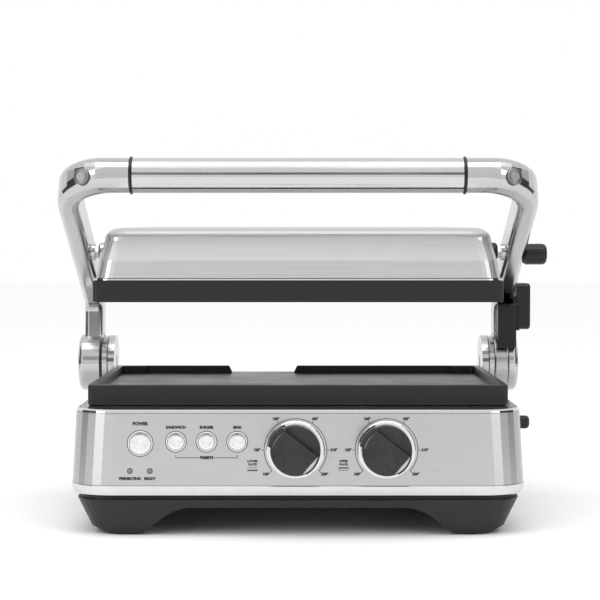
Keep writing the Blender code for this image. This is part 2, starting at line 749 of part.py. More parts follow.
def dial(name, x, frame, material):
    """Temperature dial: a skirt, two scooped flanks and a thick grip bar between."""
    start = 0.0022
    top = start + DIAL_HEIGHT
    profile = [
        (0, top), (DIAL_RADIUS - 0.0024, top), (DIAL_RADIUS - 0.0014, top - 0.0006),
        (DIAL_RADIUS - 0.0008, top - 0.0016), (DIAL_RADIUS, start + 0.0030), (DIAL_RADIUS, start),
        (0, start),
    ]
    turn = Matrix.Rotation(math.radians(90), 4, "X")
    knob = turned(f"{name}_dial", profile, frame, material, (x, BODY_FRONT, DIAL_Z), FRONT_FACING, 56)
    pointer = Matrix.Rotation(math.radians(90) - DIAL_POINTS_AT, 4, "Z")
    for side in (-1, 1):
        flank = [(-0.03, 0.0085), (0.03, 0.0085), (0.03, 0.04), (-0.03, 0.04)]
        flank = [(a, side * b) for a, b in flank]
        if side < 0:
            flank = flank[::-1]
        scoop = slab(flank, start + 0.0070, top + 0.01, "Z")
        scoop.transform(Matrix.Translation((x, BODY_FRONT, DIAL_Z)) @ turn @ pointer)
        cut(knob, scoop, f"flank_{side}")
    notch = box((DIAL_RADIUS - 0.0072, -0.0009, top - 0.0008), (DIAL_RADIUS + 0.002, 0.0009, top + 0.002))
    notch.transform(Matrix.Translation((x, BODY_FRONT, DIAL_Z)) @ turn @ pointer)
    cut(knob, notch, "pointer_notch")
    bore = rod(SHAFT_RADIUS + REST_GAP, BODY_FRONT - 0.0135, BODY_FRONT + 0.01, "Y", 24)
    bore = moved(bore, (x, 0, DIAL_Z))
    cut(knob, bore, "bore")
    return knob


def dial_bezel(name, x, frame, material):
    """Bright flat ring behind a dial."""
    profile = [
        (BEZEL_RADIUS - 0.0006, 0.0016), (BEZEL_RADIUS, 0.0011), (BEZEL_RADIUS, REST_GAP),
        (SHAFT_RADIUS + 0.0012, REST_GAP), (SHAFT_RADIUS + 0.0012, 0.0016),
    ]
    place = (x, BODY_FRONT, DIAL_Z)
    return turned(f"{name}_bezel", profile, frame, material, place, FRONT_FACING, 48, ring=True)


def dial_encoder(name, x, frame, material):
    """Switch body behind the panel, with the shaft that carries the dial."""
    shaft = rod(SHAFT_RADIUS, BODY_FRONT - 0.0130, BODY_FRONT + 0.0100, "Y", 24)
    encoder = make_object(f"{name}_encoder", moved(shaft, (x, 0, DIAL_Z)), frame, material)
    low = (x - 0.0085, BODY_FRONT + 0.0060, DIAL_Z - 0.0085)
    case = box(low, (x + 0.0085, BOARD_Y - REST_GAP, DIAL_Z + 0.0085))
    join(encoder, case, "case")
    return encoder


def control_board(frame, material):
    """Circuit board behind the panel, with one switch behind each button."""
    board = make_object(
        "control_board",
        box((-0.1460, BOARD_Y, 0.0480), (0.0980, BOARD_Y + 0.0016, 0.0930)),
        frame,
        material,
    )
    for name, (x, z, _) in zip(BUTTON_NAMES, button_places()):
        low = (x - 0.0032, BODY_FRONT + BUTTON_BACK + 0.0020, z - 0.0032)
        switch = box(low, (x + 0.0032, BOARD_Y + 0.0005, z + 0.0032))
        join(board, switch, f"{name}_switch")
    return board


def power_board(frame, material):
    """Mains board on the base floor, with its relay block."""
    board = make_object(
        "power_board", box((0.0550, -0.1500, 0.0450), (0.1450, -0.0400, 0.0466)), frame, material
    )
    join(board, box((0.0700, -0.1300, 0.0460), (0.1000, -0.1050, 0.0660)), "relay")
    join(board, box((0.1080, -0.0900, 0.0460), (0.1330, -0.0600, 0.0700)), "transformer")
    return board


def release_button(frame, material):
    """Spring button on the right side that frees the lower plate."""
    inside = BODY_TOP_HALF_WIDTH - 0.012
    length = RELEASE_LENGTH
    profile = [
        (0, length), (RELEASE_HALF - 0.0022, length), (RELEASE_HALF - 0.0007, length - 0.0010),
        (RELEASE_HALF, length - 0.0028), (RELEASE_HALF, 0), (0, 0),
    ]
    place = (inside, RELEASE_Y, RELEASE_Z)
    return turned("plate_release_button", profile, frame, material, place, OUT_TO_THE_RIGHT, 32)


# Hinge hubs -------------------------------------------------------------------


def hinge_bracket(side, frame, material):
    """Fixed ear that stands on the deck and holds the hinge pin."""
    name = "left" if side < 0 else "right"
    foot = DECK_TOP_Z + REST_GAP - HINGE_Z
    radius = BRACKET_RADIUS
    low = math.degrees(math.asin(foot / radius))
    outline = arc((0, 0), radius, low, 180 - low, 36)
    ends = sorted((side * BRACKET_INNER, side * BRACKET_OUTER))
    shape = moved(slab(outline, *ends, "X"), (0, 0, HINGE_Z))
    bracket = make_object(f"hinge_bracket_{name}", shape, frame, material)
    bore_ends = sorted((side * (BRACKET_INNER - 0.005), side * (BRACKET_OUTER + 0.005)))
    bore = moved(rod(PIN_RADIUS + REST_GAP, *bore_ends, "X", 28), (0, 0, HINGE_Z))
    cut(bracket, bore, "bore")
    return bracket


def hinge_pin(side, axis_frame, material):
    """Pin through the bracket, the cam ring and the arm's eye."""
    name = "left" if side < 0 else "right"
    ends = sorted((side * (BRACKET_INNER + 0.0003), side * PIN_END))
    pin = make_object(f"hinge_pin_{name}", rod(PIN_RADIUS, *ends, "X", 28), axis_frame, material)
    shade(pin)
    return pin


def cam_ring(side, axis_frame, material):
    """Polished ring between the bracket and the arm, keyed to the pin."""
    name = "left" if side < 0 else "right"
    inner, outer = BRACKET_OUTER + REST_GAP, EYE_INNER - RUN_GAP
    width = outer - inner
    bore = PIN_RADIUS + REST_GAP
    profile = [
        (RING_CAM_RADIUS - 0.0012, width), (RING_CAM_RADIUS, width - 0.0012), (RING_CAM_RADIUS, 0.0008),
        (RING_CAM_RADIUS - 0.0008, 0), (bore, 0), (bore, width),
    ]
    turn = (0, math.radians(90) * side, 0)
    place = (side * inner, 0, 0)
    return turned(f"cam_ring_{name}", profile, axis_frame, material, place, turn, 48, ring=True)


def step_cam(axis_frame, material):
    """Stepped cam on the right: the height lever's pawl lands on its stairs."""
    full = HUB_RADIUS - 0.0003
    outline = arc((0, 0), full, -125, -235 - 65, 36)
    first, last, stairs = 120, 230, 5
    for stair in range(stairs):
        radius = full - 0.0022 * (stair + 1) if stair < stairs - 1 else full - 0.0022 * (stairs - 2)
        start = first - 360 + (last - first) * stair / stairs + 0.001
        end = first - 360 + (last - first) * (stair + 1) / stairs
        outline += arc((0, 0), radius, start, end, 3)
    shape = slab(dedupe(outline), EYE_INNER - 0.0001, STEP_CAM_OUTER, "X")
    cam = make_object("step_cam", shape, axis_frame, material)
    cut(cam, rod(PIN_RADIUS + REST_GAP, EYE_INNER - 0.01, HUB_OUTER, "X", 28), "bore")
    return cam


def dedupe(points):
    """Drop points that repeat the one before."""
    kept = [points[0]]
    for point in points[1:]:
        if math.dist(point, kept[-1]) > 1e-5:
            kept.append(point)
    return kept


# Arms and handle ----------------------------------------------------------------


def section(centre, across, along, width, depth, corner, steps=5):
    """A rounded rectangle in space, for lofting an arm."""
    ring = []
    for quarter, (a, b) in enumerate(((1, 1), (-1, 1), (-1, -1), (1, -1))):
        for step in range(steps + 1):
            angle = math.radians(90 * quarter + 90 * step / steps)
            u = a * (width / 2 - corner) + corner * math.cos(angle)
            v = b * (depth / 2 - corner) + corner * math.sin(angle)
            ring.append(centre + across * u + along * v)
    return ring


def arm_rings(side):
    """The arm's sections: up from the hub, round the bend, and round the corner."""
    out = Vector((side, 0, 0))
    middle = ARM_INNER + ARM_WIDTH / 2
    root = Vector((0, BEND_Y, BEND_Z)).normalized()
    main = Vector((0, -math.cos(ARM_SLOPE), math.sin(ARM_SLOPE)))
    bend = Vector((0, BEND_Y, BEND_Z))
    rings = []

    def add(centre, direction, across, width, depth, corner):
        rings.append(section(centre, across, direction.cross(across), width, depth, corner))

    turn = root.angle(main)
    tangent = BEND_RADIUS * math.tan(turn / 2)
    start = bend - root * tangent
    for share in (0.10, 0.45, 0.80):
        add(out * middle + start * share, root, out, ARM_WIDTH, ARM_ROOT_DEPTH, 0.0045)
    inward = (main - root * main.dot(root)).normalized()
    pivot = start + inward * BEND_RADIUS
    for step in range(7):
        angle = turn * step / 6
        spot = pivot - inward * BEND_RADIUS * math.cos(angle) + root * BEND_RADIUS * math.sin(angle)
        heading = root * math.cos(angle) + inward * math.sin(angle)
        depth = ARM_ROOT_DEPTH + (ARM_DEPTH - ARM_ROOT_DEPTH) * step / 6
        add(out * middle + spot, heading, out, ARM_WIDTH, depth, 0.0045)
    grip = Vector((0, HANDLE_Y, HANDLE_Z))
    corner_start = grip - main * CORNER_RADIUS
    leave = bend + main * tangent
    for share in (0.35, 0.70, 0.92):
        spot = leave.lerp(corner_start, share)
        add(out * (middle + ARM_SPLAY * share) + spot, main, out, ARM_WIDTH, ARM_DEPTH, 0.0050)
    hub = out * (middle + ARM_SPLAY - CORNER_RADIUS) + corner_start
    for step in range(9):
        angle = math.radians(90) * step / 8
        share = step / 8
        spot = hub + (out * math.cos(angle) + main * math.sin(angle)) * CORNER_RADIUS
        heading = main * math.cos(angle) - out * math.sin(angle)
        across = out * math.cos(angle) + main * math.sin(angle)
        width = ARM_WIDTH + (2 * HANDLE_RADIUS - ARM_WIDTH) * math.sin(angle) ** 1.5
        depth = ARM_DEPTH + (2 * HANDLE_RADIUS - ARM_DEPTH) * share
        corner = 0.0052 + (HANDLE_RADIUS - 0.0053) * share
        add(spot, heading, across, width, depth, min(corner, width / 2 - 0.0001, depth / 2 - 0.0001))
    round_corner = HANDLE_RADIUS - 0.00005
    for x in (middle - CORNER_RADIUS - 0.006, RING_X + RING_WIDTH / 2 + REST_GAP):
        add(out * x + grip, -out, main, 2 * HANDLE_RADIUS, 2 * HANDLE_RADIUS, round_corner)
    return rings


def arm(side, axis_frame, material):
    """Polished cast arm with its hub eye and its rounded corner."""
    name = "left" if side < 0 else "right"
    piece = make_object(f"arm_{name}", loft(arm_rings(side)), axis_frame, material)
    inner = EYE_INNER if side < 0 else STEP_CAM_OUTER + RUN_GAP
    edge = 0.0050
    widths = [(HUB_RADIUS - 0.0010, inner), (HUB_RADIUS, inner + 0.0010)]
    widths += [
        (HUB_RADIUS - edge + edge * math.cos(a), HUB_OUTER - edge + edge * math.sin(a))
        for a in (math.radians(18 * k) for k in range(5))
    ]
    widths += [(HUB_RADIUS - edge - 0.004, HUB_OUTER)]
    rings = []
    for radius, x in widths:
        rings.append([Vector((side * x, radius * math.cos(t), radius * math.sin(t)))
                      for t in (math.tau * k / 48 for k in range(48))])
    join(piece, loft(rings), "eye")
    room_end = EYE_INNER + 0.0002 if side < 0 else STEP_CAM_OUTER + PIVOT_GAP
    room = rod(HUB_RADIUS + 0.0008, *sorted((side * (ARM_INNER - 0.01), side * room_end)), "X", 48)
    cut(piece, room, "cam_room")
    if side > 0:
        pin_hole = rod(LEVER_PIN_RADIUS + REST_GAP, ARM_INNER - 0.01, ARM_OUTER + 0.01, "X", 20)
        cut(piece, moved(pin_hole, LEVER_AXIS), "lever_pin_hole")
    bore_ends = sorted((side * (EYE_INNER - 0.01), side * (PIN_END + REST_GAP)))
    cut(piece, rod(PIN_RADIUS + REST_GAP, *bore_ends, "X", 28), "bore")
    pivot_ends = sorted((side * (ARM_INNER - 0.01), side * (ARM_INNER + 0.0060)))
    pivot = rod(PIVOT_RADIUS + REST_GAP, *pivot_ends, "X", 24)
    cut(piece, moved(pivot, (0, PIVOT_Y, PIVOT_Z)), "pivot_bore")
    pocket = rod(CAP_RADIUS + REST_GAP, -0.0090, 0.02, "Z", 28)
    pocket.transform(cap_matrix(side))
    cut(piece, pocket, "cap_pocket")
    shade(piece, 40)
    return piece


def cap_matrix(side):
    """Place and direction of a corner cap's face, looking forward and outward."""
    facing = Vector((side * 0.36, -0.92, 0.14)).normalized()
    turn = facing.to_track_quat("Z", "Y").to_matrix().to_4x4()
    return Matrix.Translation((side * CAP_X, HANDLE_Y - HANDLE_RADIUS + 0.0030, HANDLE_Z - 0.0014)) @ turn


def corner_cap(side, axis_frame, material):
    """Round cap that hides the bolt where the arm meets the handle."""
    name = "left" if side < 0 else "right"
    rings = []
    edge = CAP_RADIUS
    steps = ((edge, -0.0086), (edge, 0.0006), (edge - 0.0006, 0.0012), (edge - 0.0030, 0.0017))
    for radius, height in steps:
        rings.append([Vector((radius * math.cos(t), radius * math.sin(t), height))
                      for t in (math.tau * k / 28 for k in range(28))])
    shape = loft(rings)
    shape.transform(cap_matrix(side))
    cap = make_object(f"corner_cap_{name}", shape, axis_frame, material)
    shade(cap)
    return cap


def handle_tube(axis_frame, material):
    """Long steel tube between the two corner castings."""
    half = RING_X - RING_WIDTH / 2 - REST_GAP
    inner = HANDLE_RADIUS - HANDLE_WALL
    profile = [(HANDLE_RADIUS, half), (HANDLE_RADIUS, -half), (inner, -half), (inner, half)]
    place = (0, HANDLE_Y, HANDLE_Z)
    return turned("handle_tube", profile, axis_frame, material, place, OUT_TO_THE_RIGHT, 48, ring=True)


def handle_ring(side, axis_frame, material):
    """Dark collar between a corner casting and the tube."""
    name = "left" if side < 0 else "right"
    half = RING_WIDTH / 2
    profile = [
        (0, half), (RING_RADIUS - 0.0008, half), (RING_RADIUS, half - 0.0006), (RING_RADIUS, 0.0006 - half),
        (RING_RADIUS - 0.0008, -half), (0, -half),
    ]
    place = (side * RING_X, HANDLE_Y, HANDLE_Z)
    return turned(f"handle_ring_{name}", profile, axis_frame, material, place, OUT_TO_THE_RIGHT, 40)


def pivot_pin(side, axis_frame, material):
    """Pin that carries the floating cover, with a collar and a hexagon."""
    name = "left" if side < 0 else "right"
    start, end = COVER_HALF_WIDTH - 0.0060, ARM_INNER + 0.0055
    pin = make_object(
        f"pivot_pin_{name}",
        moved(rod(PIVOT_RADIUS, *sorted((side * start, side * end)), "X", 24), (0, PIVOT_Y, PIVOT_Z)),
        axis_frame, material,
    )
    collar = rod(0.0075, *sorted((side * (ARM_INNER - 0.0036), side * (ARM_INNER - REST_GAP))), "X", 24)
    join(pin, moved(collar, (0, PIVOT_Y, PIVOT_Z)), "collar")
    nut = rod(0.0064, *sorted((side * (ARM_INNER - 0.0066), side * (ARM_INNER - 0.0032))), "X", 6)
    join(pin, moved(nut, (0, PIVOT_Y, PIVOT_Z)), "nut")
    return pin


def lever_pin(axis_frame, material):
    """Small pin that the height lever rocks on."""
    shape = rod(LEVER_PIN_RADIUS, ARM_INNER, ARM_OUTER + 0.0040, "X", 20)
    pin = make_object("lever_pin", moved(shape, LEVER_AXIS), axis_frame, material)
    shade(pin)
    return pin


def height_lever(parent, material):
    """Black rocking lever on the right arm: pawl in front, cheek and thumb tab outside."""
    face = [(-0.0108, 0.0300), (-0.0096, 0.0440), (-0.0190, 0.0530), (-0.0280, 0.0578), (-0.0312, 0.0560),
            (-0.0318, 0.0530), (-0.0318, 0.0210), (-0.0300, 0.0165)]
    rim_radius = HUB_RADIUS + 0.0009
    rim_end = math.degrees(math.acos(-0.0120 / rim_radius))
    rim = arc((0, 0), rim_radius, 149, rim_end, 8)
    block_end = ARM_OUTER + 0.0016
    shape = relative(slab(rim + face, EYE_INNER + 0.0008, block_end, "X"))
    block = make_object("height_lever", shape, parent, material)
    cheek = [(-0.0250, 0.0320), (-0.0215, 0.0560), (-0.0120, 0.0640), (0.0130, 0.0640), (0.0180, 0.0560),
             (0.0170, 0.0340), (-0.0060, 0.0315)]
    join(block, relative(slab(cheek, ARM_OUTER + PIVOT_GAP, CHEEK_OUTER, "X")), "cheek")
    corners = (
        ((-0.0150, 0.0725), 0.0045, 180, 90, 4), ((0.0070, 0.0720), 0.0050, 90, 0, 4),
        ((0.0080, 0.0420), 0.0040, 0, -60, 3), ((-0.0130, 0.0385), 0.0060, -100, -180, 4),
    )
    thumb = rounded_block(corners, CHEEK_OUTER - 0.0022, TAB_OUTER, 0.0024)
    join(block, relative(thumb), "thumb_tab")
    pin_room = rod(LEVER_PIN_RADIUS + REST_GAP, ARM_INNER, ARM_OUTER + 0.0043, "X", 20)
    cut(block, relative(moved(pin_room, LEVER_AXIS)), "pin_hole")
    return block


def relative(shape):
    """Hub measures, restated from the height lever's own axis."""
    return moved(shape, (0, -LEVER_AXIS[1], -LEVER_AXIS[2]))


def lock_lever(parent, material):
    """Black lever on the right arm that locks the floating cover."""
    drop = 0.0020
    corners = (((0, -drop), 0.0096, 90, 270, 12), ((0.0240, -drop), 0.0078, -90, 90, 10))
    shape = rounded_block(corners, ARM_OUTER + ARM_SPLAY + REST_GAP, LOCK_OUTER, 0.0042)
    lever = make_object("lock_lever", shape, parent, material)
    shade(lever)
    return lever


# Cover ------------------------------------------------------------------------


def cover_middle():
    """Y of the cover's middle, from the lower plate's middle and the pivot's swing."""
    radius = math.hypot(PIVOT_Y, PIVOT_Z)
    closed_y = -math.sqrt(radius ** 2 - (PIVOT_Z - HOVER_GAP) ** 2)
    return PIVOT_Y + (PLATE_REAR - PLATE_DEPTH / 2) - closed_y


def cover_levels():
    """Heights of the upper plate and cover above the table, while hovering."""
    plate_low = LOWER_RIM_Z + HOVER_GAP
    plate_high = plate_low + UPPER_PLATE_HEIGHT
    return plate_low, plate_high


def from_pivot(shape):
    """Table measures, restated from the cover's pivot."""
    return moved(shape, (0, -PIVOT_Y, -HINGE_Z - PIVOT_Z))


def upper_plate(parent, material):
    """Cast upper plate: ribs below, a heater bay above."""
    middle = cover_middle()
    front, rear = middle - PLATE_DEPTH / 2, middle + PLATE_DEPTH / 2
    low, high = cover_levels()
    half = UPPER_PLATE_HALF_WIDTH
    rings = [
        rounded_ring(half - 0.0008, front + 0.0008, rear - 0.0008, PLATE_CORNER, low, steps=3),
        rounded_ring(half, front, rear, PLATE_CORNER, low + 0.0008, steps=3),
        rounded_ring(half, front, rear, PLATE_CORNER, high - 0.0008, steps=3),
        rounded_ring(half - 0.0008, front + 0.0008, rear - 0.0008, PLATE_CORNER, high, steps=3),
    ]
    plate = make_object("upper_plate", from_pivot(loft(rings)), parent, material)
    grooves = int((2 * half - 0.022) / RIB_PITCH)
    for index in range(grooves):
        x = (index - (grooves - 1) / 2) * RIB_PITCH
        slot = box(
            (x - RIB_GROOVE / 2, front + 0.010, low - 0.01),
            (x + RIB_GROOVE / 2, rear - 0.010, low + 0.0035),
        )
        cut(plate, from_pivot(slot), f"groove_{index:02d}")
    bay_levels = (low + 0.0085, high + 0.01)
    bay = [rounded_ring(half - 0.02, front + 0.018, rear - 0.018, 0.010, z, steps=4) for z in bay_levels]
    cut(plate, from_pivot(loft(bay)), "heater_bay")
    return plate


def upper_heater(parent, material):
    """Sheathed heating element in the upper plate's bay."""
    middle = cover_middle()
    low = cover_levels()[0]
    reach = PLATE_DEPTH / 2 - 0.0385
    element_z = low + 0.0085 + ELEMENT_RADIUS + REST_GAP
    path = heater_path(PLATE_HALF_WIDTH - 0.0350, middle - reach, middle + reach, element_z)
    path = [point - Vector((0, PIVOT_Y, HINGE_Z + PIVOT_Z)) for point in path]
    return tube("upper_element", path, ELEMENT_RADIUS, parent, material)


def cover_ring(z, inset):
    """The cover's outline at a height, inset from its foot."""
    middle = cover_middle()
    half_depth = PLATE_DEPTH / 2 - 0.0020
    return rounded_ring(
        COVER_HALF_WIDTH - inset,
        middle - half_depth + inset * 1.6,
        middle + half_depth - inset * 1.6,
        0.0160,
        z,
        steps=7,
    )


def cover_lip(parent, material):
    """Thin bright lip between the upper plate and the cover."""
    high = cover_levels()[1]
    bottom, top = high + REST_GAP, high + REST_GAP + 0.0012
    corners = ((bottom, -0.0010), (top, -0.0010), (top, 0.0080), (bottom, 0.0080))
    rings = [cover_ring(z, inset) for z, inset in corners]
    return make_object("cover_lip", from_pivot(loft(rings, closed_loop=True)), parent, material)


def cover_shell(parent, material):
    """Brushed steel cover: a drawn sheet with sloping sides and a round upper edge."""
    foot = cover_levels()[1] + 3 * REST_GAP + 0.0012
    top = foot + COVER_HEIGHT
    shape = bmesh.new()
    stack = [(foot, 0.0), (foot + COVER_HEIGHT * 0.35, COVER_SLOPE * 0.35), (top - COVER_EDGE, COVER_SLOPE)]
    for step in range(1, 7):
        angle = math.radians(15 * step)
        rise, inset = math.sin(angle), 1 - math.cos(angle)
        stack.append((top - COVER_EDGE + COVER_EDGE * rise, COVER_SLOPE + COVER_EDGE * inset))
    stack.append((top + 0.0006, COVER_SLOPE + COVER_EDGE + 0.020))
    rows = []
    for z, inset in stack:
        rise = COVER_CROWN * max(0, (z - foot) / COVER_HEIGHT) ** 3
        row = []
        for point in cover_ring(z, inset):
            crown = rise * (1 - (point.x / COVER_HALF_WIDTH) ** 2)
            row.append(shape.verts.new(point + Vector((0, 0, crown))))
        rows.append(row)
    count = len(rows[0])
    for lower, upper in zip(rows, rows[1:]):
        for i in range(count):
            j = (i + 1) % count
            shape.faces.new((lower[i], lower[j], upper[j], upper[i]))
    shape.faces.new(rows[-1])
    shell = make_object("cover_shell", from_pivot(shape), parent, material)
    solid = shell.modifiers.new("sheet", "SOLIDIFY")
    solid.thickness = SHEET
    solid.offset = -1
    for side in (-1, 1):
        ends = sorted((side * (COVER_HALF_WIDTH - 0.025), side * (COVER_HALF_WIDTH + 0.010)))
        hole = rod(BOSS_RADIUS + PIVOT_GAP, *ends, "X", 28)
        cut(shell, hole, f"boss_hole_{side}")
    shade(shell)
    return shell


def pivot_boss(side, parent, material):
    """Bush on the cover's side that turns on the pivot pin."""
    name = "left" if side < 0 else "right"
    start, end = COVER_HALF_WIDTH - 0.0140, ARM_INNER - 0.0071
    bore = PIVOT_RADIUS + REST_GAP
    length = end - start
    profile = [
        (BOSS_RADIUS - 0.0015, length), (BOSS_RADIUS, length - 0.0015), (BOSS_RADIUS, 0),
        (bore, 0), (bore, length),
    ]
    turn = (0, math.radians(90) * side, 0)
    place = (side * start, 0, 0)
    return turned(f"pivot_boss_{name}", profile, parent, material, place, turn, 28, ring=True)


def build():
    """Make every piece, grouped under the empties that its joints turn about."""
    steel = make_material("brushed_steel", (0.62, 0.62, 0.63), 0.32, 1.0)
    polished = make_material("polished_aluminium", (0.74, 0.74, 0.75), 0.16, 1.0)
    bright = make_material("bright_trim", (0.80, 0.80, 0.81), 0.14, 1.0)
    cast = make_material("nonstick_cast", (0.045, 0.045, 0.048), 0.45, 0.1)
    black = make_material("black_plastic", (0.035, 0.035, 0.038), 0.42, 0.0)
    rubber = make_material("rubber", (0.03, 0.03, 0.03), 0.85, 0.0)
    light = make_material("light_ring", (0.93, 0.95, 0.97), 0.30, 0.0)
    lamp = make_material("lamp_lens", (0.20, 0.20, 0.21), 0.25, 0.0)
    plated = make_material("plated_steel", (0.55, 0.55, 0.56), 0.30, 1.0)
    element = make_material("heater_sheath", (0.30, 0.29, 0.28), 0.50, 0.9)
    board = make_material("circuit_board", (0.05, 0.22, 0.10), 0.55, 0.0)

    frame = make_empty("press_frame", None, (MID_X, MID_Y, 0))
    base_tub(frame, black)
    foot_pads(frame, rubber)
    lower_trim(frame, bright)
    body_band(frame, steel)
    top_deck(frame, bright)
    lower_plate(frame, cast)
    lower_heater(frame, element)
    pan_shield("lower_heat_shield", frame, plated, PLATE_HALF_WIDTH - 0.0150, PLATE_FRONT + 0.012,
               PLATE_REAR - 0.018, 0.0950, 0.1002)
    grease_chute(frame, plated)
    drip_tray(frame, black)
    cord_gland(frame, black)
    buttons(frame, steel, light)
    lamps(frame, lamp)
    for name, x in zip(("lower", "upper"), DIAL_X):
        dial(name, x, frame, black)
        dial_bezel(name, x, frame, bright)
        dial_encoder(name, x, frame, black)
    control_board(frame, board)
    power_board(frame, board)
    release_button(frame, black)

    hinge_axis = make_empty("hinge_axis", frame, (0, 0, HINGE_Z))
    lever_axis = make_empty("height_lever_axis", hinge_axis, LEVER_AXIS)
    pivot_axis = make_empty("cover_pivot_axis", hinge_axis, (0, PIVOT_Y, PIVOT_Z))
    for side in (-1, 1):
        hinge_bracket(side, frame, polished)
        hinge_pin(side, hinge_axis, plated)
        cam_ring(side, hinge_axis, polished)
        arm(side, hinge_axis, polished)
        corner_cap(side, hinge_axis, polished)
        handle_ring(side, hinge_axis, black)
        pivot_pin(side, hinge_axis, plated)
        pivot_boss(side, pivot_axis, plated if side < 0 else black)
    step_cam(hinge_axis, plated)
    handle_tube(hinge_axis, steel)
    lever_pin(hinge_axis, plated)
    height_lever(lever_axis, black)
    lock_lever(pivot_axis, black)
    upper_plate(pivot_axis, cast)
    upper_heater(pivot_axis, element)
    cover_lip(pivot_axis, bright)
    cover_shell(pivot_axis, steel)
    middle = cover_middle() - PIVOT_Y
    shield_z = cover_levels()[1] + 0.0030 - HINGE_Z - PIVOT_Z
    depth = PLATE_DEPTH / 2 - 0.0165
    pan_shield("upper_heat_shield", pivot_axis, plated, UPPER_PLATE_HALF_WIDTH - 0.0200, middle - depth,
               middle + depth, shield_z, shield_z + 0.0040)


clear_scene()
PARTS = make_collection("panini_press")
CUTTERS = make_collection("cutters")
build()
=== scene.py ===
# %% [markdown]
# # A panini press
# The press stands on a pale table. Its ribbed upper plate hovers level over the flat lower plate,
# carried between two cast arms that meet in one long handle. The imported frame already holds
# every piece that moves. This lesson gives each piece its finish, adds the printed scale and
# labels, the dials' lobes, a painted highlight on each dial's chamfer and painted shade in the gap
# round each button, and lights the result.
# Everything is in metres, with X across the press, -Y towards the user and Z up.

# %% Load the frame
import math

import bmesh
import bpy
from mathutils import Matrix, Vector


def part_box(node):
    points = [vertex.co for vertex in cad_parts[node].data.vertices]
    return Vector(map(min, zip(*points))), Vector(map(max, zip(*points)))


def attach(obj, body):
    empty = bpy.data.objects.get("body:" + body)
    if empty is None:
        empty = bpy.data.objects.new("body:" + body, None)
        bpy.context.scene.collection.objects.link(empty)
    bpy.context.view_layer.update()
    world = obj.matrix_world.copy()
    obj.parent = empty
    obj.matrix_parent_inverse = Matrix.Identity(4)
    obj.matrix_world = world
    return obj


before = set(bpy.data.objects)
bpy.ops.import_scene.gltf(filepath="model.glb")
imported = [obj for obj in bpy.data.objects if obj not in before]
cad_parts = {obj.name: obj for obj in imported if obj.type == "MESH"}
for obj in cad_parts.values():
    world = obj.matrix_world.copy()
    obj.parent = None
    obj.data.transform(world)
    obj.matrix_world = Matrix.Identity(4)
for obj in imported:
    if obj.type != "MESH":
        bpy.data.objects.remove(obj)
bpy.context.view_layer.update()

# %% [markdown]
# Positions come from the frame's own boxes, so a label always sits where its button is.
# A node's lowest and highest corners give its middle and its front face.

# %% Reading places from the frame


def middle_of(node):
    """The middle of a node's box at rest."""
    low, high = (Vector(corner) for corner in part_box(node))
    return (low + high) / 2


def front_of(node):
    """The Y of a node's nearest face to the user."""
    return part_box(node)[0][1]


BAND_FRONT = front_of("body_band")
print("steel band's front face at y =", round(BAND_FRONT, 4))

# %% [markdown]
# A finish is a small chain of nodes: a colour, a roughness and a fine bump. Every finish
# below starts from the same Principled shader, and its own cell adds what makes it
# recognisable. Noise stretched along one axis reads as brushed grain, because brushing
# drags thousands of parallel scratches in one direction.

# %% Helpers for finishes


def start_finish(name, colour, roughness, metallic=0.0):
    """A material with one Principled shader; gives the material, its nodes and links."""
    finish = bpy.data.materials.new(name)
    finish.use_nodes = True
    nodes, links = finish.node_tree.nodes, finish.node_tree.links
    shader = nodes["Principled BSDF"]
    shader.inputs["Base Color"].default_value = (*colour, 1)
    shader.inputs["Roughness"].default_value = roughness
    shader.inputs["Metallic"].default_value = metallic
    return finish, nodes, links, shader


def stretched_noise(nodes, links, stretch, detail=3.0):
    """Noise in object space, with its own scale along each axis."""
    place = nodes.new("ShaderNodeTexCoord")
    scale = nodes.new("ShaderNodeMapping")
    scale.inputs["Scale"].default_value = stretch
    noise = nodes.new("ShaderNodeTexNoise")
    noise.inputs["Scale"].default_value = 1.0
    noise.inputs["Detail"].default_value = detail
    links.new(place.outputs["Object"], scale.inputs["Vector"])
    links.new(scale.outputs["Vector"], noise.inputs["Vector"])
    return noise


def spread(nodes, links, source, low, high, start=0.3, end=0.7):
    """Map a noise value onto a range."""
    span = nodes.new("ShaderNodeMapRange")
    span.inputs["From Min"].default_value = start
    span.inputs["From Max"].default_value = end
    span.inputs["To Min"].default_value = low
    span.inputs["To Max"].default_value = high
    links.new(source, span.inputs["Value"])
    return span.outputs["Result"]


def tint(nodes, links, source, dark, light, start=0.3, end=0.7):
    """Blend two colours by a noise value."""
    ramp = nodes.new("ShaderNodeValToRGB")
    ramp.color_ramp.elements[0].position = start
    ramp.color_ramp.elements[0].color = (*dark, 1)
    ramp.color_ramp.elements[1].position = end
    ramp.color_ramp.elements[1].color = (*light, 1)
    links.new(source, ramp.inputs["Fac"])
    return ramp.outputs["Color"]


def emboss(nodes, links, shader, source, strength, distance):
    """Feed a height into the shader's normal."""
    bump = nodes.new("ShaderNodeBump")
    bump.inputs["Strength"].default_value = strength
    bump.inputs["Distance"].default_value = distance
    links.new(source, bump.inputs["Height"])
    links.new(bump.outputs["Normal"], shader.inputs["Normal"])


# %% [markdown]
# The cover, band and handle tube are brushed stainless steel. Two noises do it: one fine
# across the grain for the scratches, one broad for the slow change in brightness that a
# rolled sheet shows.

# %% Brushed steel


